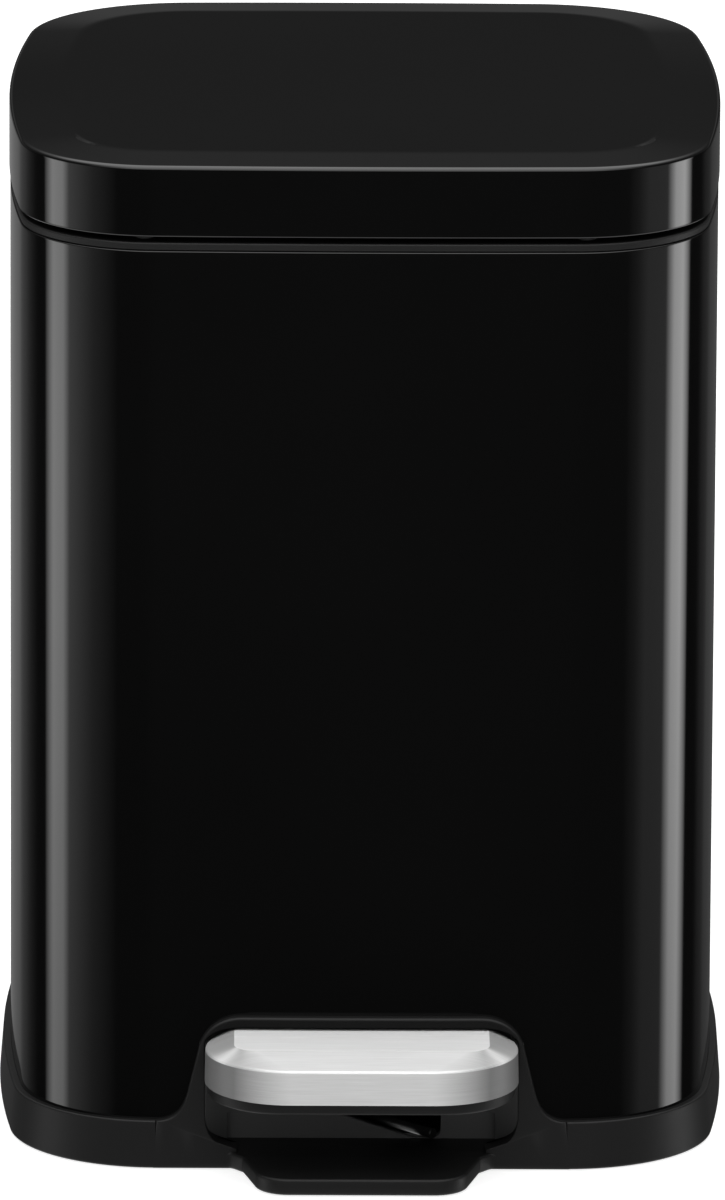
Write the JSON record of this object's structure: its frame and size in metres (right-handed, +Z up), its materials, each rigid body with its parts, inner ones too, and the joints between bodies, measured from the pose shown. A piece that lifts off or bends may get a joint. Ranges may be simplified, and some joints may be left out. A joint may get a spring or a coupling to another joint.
{
  "type": "pedal trash can",
  "caption": "Small rectangular step-on bin: gloss-black steel body and hinged lid, matt plastic base with toe plate, brushed steel pedal and a lift-out inner bucket.",
  "frame": {"origin": "middle of the footprint on the floor, halfway between the pedal's front edge and the hinge barrel's back", "axes": "+Z up, +Y towards the back where the lid hinge is, -Y the front with the pedal, +X to the right seen from the front"},
  "size_m": [0.21, 0.2634, 0.295],
  "materials": {
    "black_paint": "high-gloss black paint on pressed steel",
    "base_plastic": "fine matt moulded plastic, near black",
    "inner_plastic": "matt moulded plastic, dark grey",
    "pedal_steel": "brushed stainless sheet, grain across the pedal",
    "plated_steel": "zinc-plated steel, slightly dull",
    "rubber": "soft black rubber"
  },
  "bodies": {
    "base": {"base_housing": "base_plastic", "bottom_cover": "inner_plastic", "body_shell": "black_paint", "rim_collar": "inner_plastic", "hinge_bracket": "inner_plastic", "hinge_pin": "plated_steel", "pedal_axle": "plated_steel", "axle_clip_left": "plated_steel", "axle_clip_right": "plated_steel", "axle_keeper_spring": "plated_steel", "rod_guide_lower": "inner_plastic", "rod_guide_upper": "inner_plastic", "rod_cover": "inner_plastic", "inner_bucket": "inner_plastic", "bucket_bail": "plated_steel", "bail_grip": "base_plastic", "rubber_foot_1": "rubber", "cover_screw_1": "plated_steel", "hinge_rivet_1": "plated_steel", "rubber_foot_2": "rubber", "cover_screw_2": "plated_steel", "hinge_rivet_2": "plated_steel", "rubber_foot_3": "rubber", "cover_screw_3": "plated_steel", "hinge_rivet_3": "plated_steel", "rubber_foot_4": "rubber", "cover_screw_4": "plated_steel", "hinge_rivet_4": "plated_steel"},
    "lid": {"lid_skin": "black_paint", "lid_liner": "inner_plastic", "lid_hinge_arm": "inner_plastic", "lid_screw_left": "plated_steel", "lid_screw_right": "plated_steel", "lid_bumper_left": "rubber", "lid_bumper_right": "rubber"},
    "pedal": {"pedal_cover": "pedal_steel", "pedal_core": "inner_plastic", "pedal_lever": "plated_steel", "pedal_screw_1": "plated_steel", "pedal_screw_2": "plated_steel"},
    "rod": {"push_rod": "plated_steel", "rod_clip_lower": "plated_steel", "rod_clip_upper": "plated_steel"}
  },
  "joints": [
    {"name": "lid_hinge", "type": "hinge", "parent": "base", "child": "lid", "pos_m": [0, 0.12685, 0.2664], "axis": [-1, 0, 0], "range_deg": [0, 80]},
    {"name": "pedal_pivot", "type": "hinge", "parent": "base", "child": "pedal", "pos_m": [0, -0.01765, 0.0215], "axis": [1, 0, 0], "range_deg": [0, 9.55]},
    {"name": "push_rod_slide", "type": "slide", "parent": "base", "child": "rod", "axis": [0, 0, 1], "range_m": [0, 0.0219]}
  ],
  "couplings": [
    {"joint": "pedal_pivot", "follows": "lid_hinge", "ratio": 0.11896},
    {"joint": "push_rod_slide", "follows": "lid_hinge", "m_per_rad": 0.015625}
  ]
}
